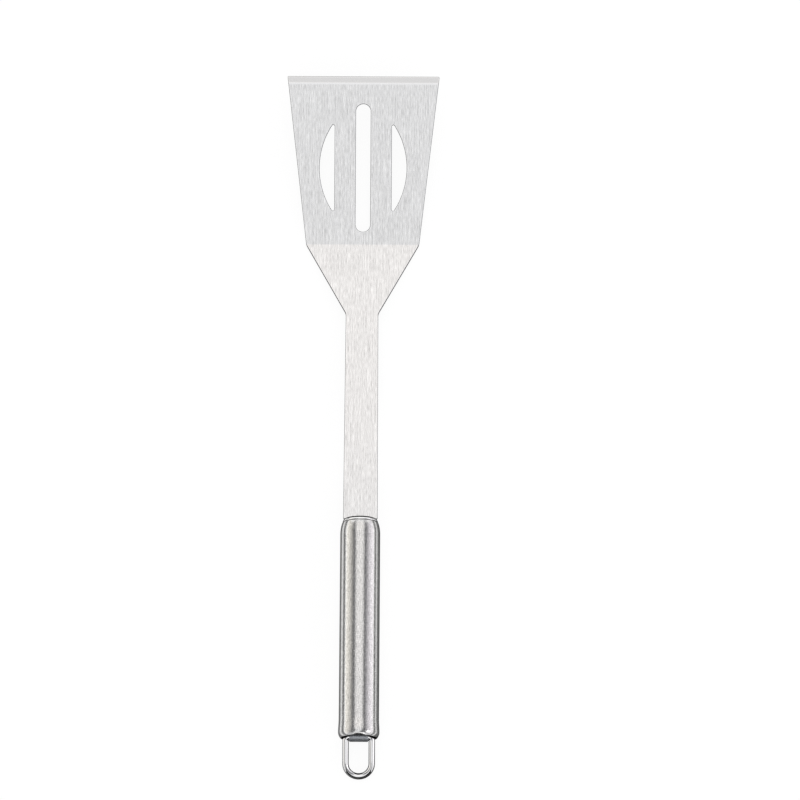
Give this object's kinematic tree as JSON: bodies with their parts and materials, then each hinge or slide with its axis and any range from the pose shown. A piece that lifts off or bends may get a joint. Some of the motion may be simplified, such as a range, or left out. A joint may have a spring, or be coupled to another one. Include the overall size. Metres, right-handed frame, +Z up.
{
  "type": "grill spatula",
  "caption": "Slotted sheet-steel grill spatula: flat blade with a bevelled front edge, tapered neck and slim shank on a round tubular handle with a swinging wire hanging loop.",
  "frame": {"origin": "on the table, under the middle of the stored overall length and width, with the spatula lying on its heel, the tail of its handle and the end of its loop", "axes": "+Y along the handle from the loop to the blade's front edge, +X across the blade, +Z up out of the blade's food side"},
  "size_m": [0.074, 0.344, 0.0195],
  "materials": {
    "brushed_sheet": "stainless sheet with a fine brushed grain along its length",
    "satin_tube": "satin-polished stainless tube",
    "turned_cap": "satin-polished stainless, with a fine round grain",
    "recessed_cap": "plain pressed stainless, dark with residue in its recess",
    "rolled_strap": "cool grey pressed stainless strip",
    "polished_wire": "mirror-polished stainless wire"
  },
  "bodies": {
    "turner": {"blade_and_shank": "brushed_sheet", "handle_tube": "satin_tube", "front_cap": "turned_cap", "tail_cap": "recessed_cap", "hinge_strap": "rolled_strap"},
    "loop": {"hanging_loop": "polished_wire"}
  },
  "joints": [
    {"name": "loop_swing", "type": "hinge", "parent": "turner", "child": "loop", "pos_m": [0, -0.15318, 0.00975], "axis": [1, 0, 0], "range_deg": [-90, 39]}
  ]
}
